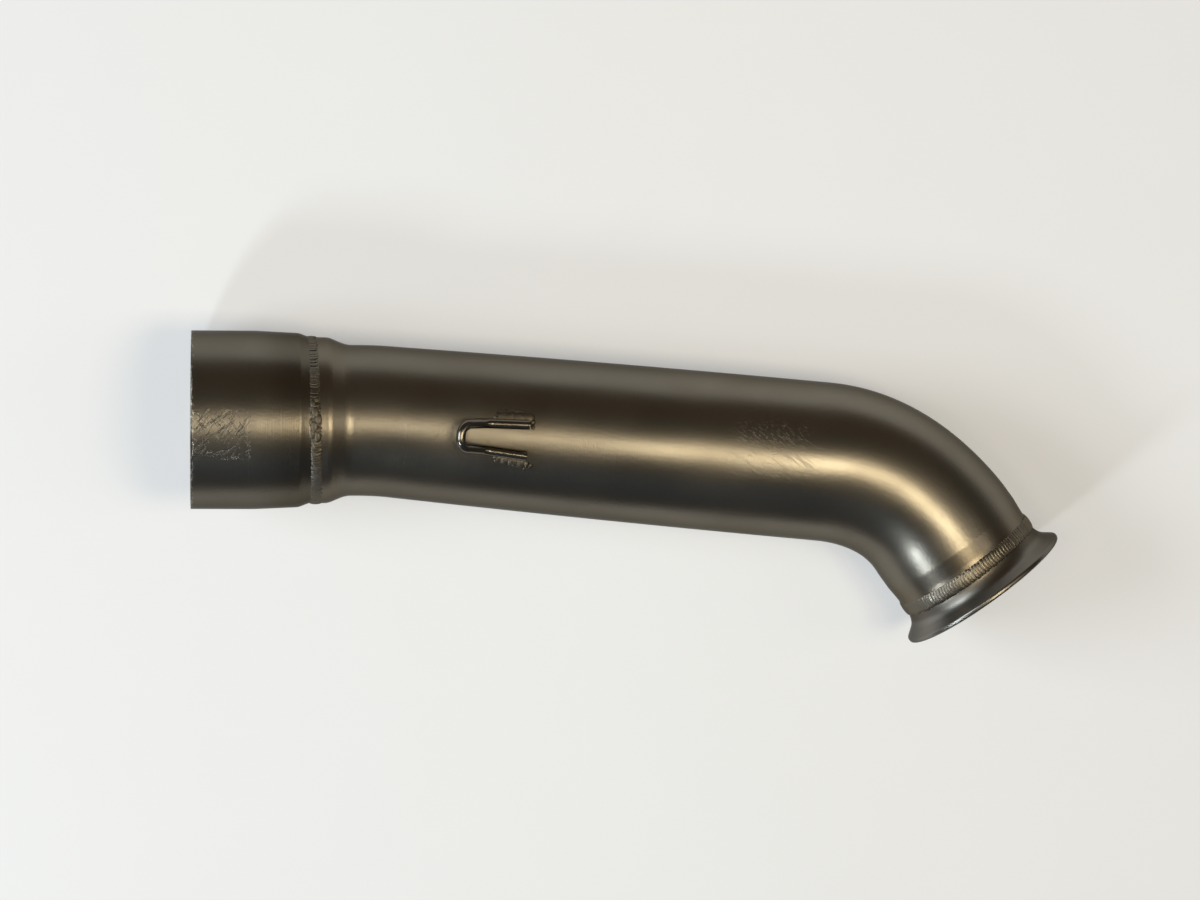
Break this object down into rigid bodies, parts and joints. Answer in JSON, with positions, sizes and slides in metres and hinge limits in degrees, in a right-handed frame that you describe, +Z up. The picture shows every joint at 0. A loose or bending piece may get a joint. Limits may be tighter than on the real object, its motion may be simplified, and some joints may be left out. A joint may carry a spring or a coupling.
{
  "type": "exhaust collector pipe",
  "caption": "Short bent exhaust pipe with a slip-on sleeve at one end, a flared collar at the other and a wire hook for a spring.",
  "frame": {"origin": "centre of the sleeve's mouth", "axes": "+X from the sleeve's mouth along the pipe as it lies, +Z up from the floor that the loose pipe rests on"},
  "size_m": [0.2785, 0.0988, 0.0603],
  "materials": {
    "sleeve_steel": "turned satin stainless steel",
    "tube_steel": "fine brushed stainless steel tube",
    "collar_steel": "turned satin stainless steel",
    "hook_steel": "bright drawn wire",
    "weld_steel": "rippled weld metal with heat tint"
  },
  "bodies": {
    "root": {"outlet_sleeve": "sleeve_steel", "main_tube": "tube_steel", "flared_collar": "collar_steel", "spring_hook": "hook_steel", "sleeve_weld_bead": "weld_steel", "collar_weld_bead": "weld_steel", "hook_weld_outer": "weld_steel", "hook_weld_inner": "weld_steel"}
  },
  "joints": []
}
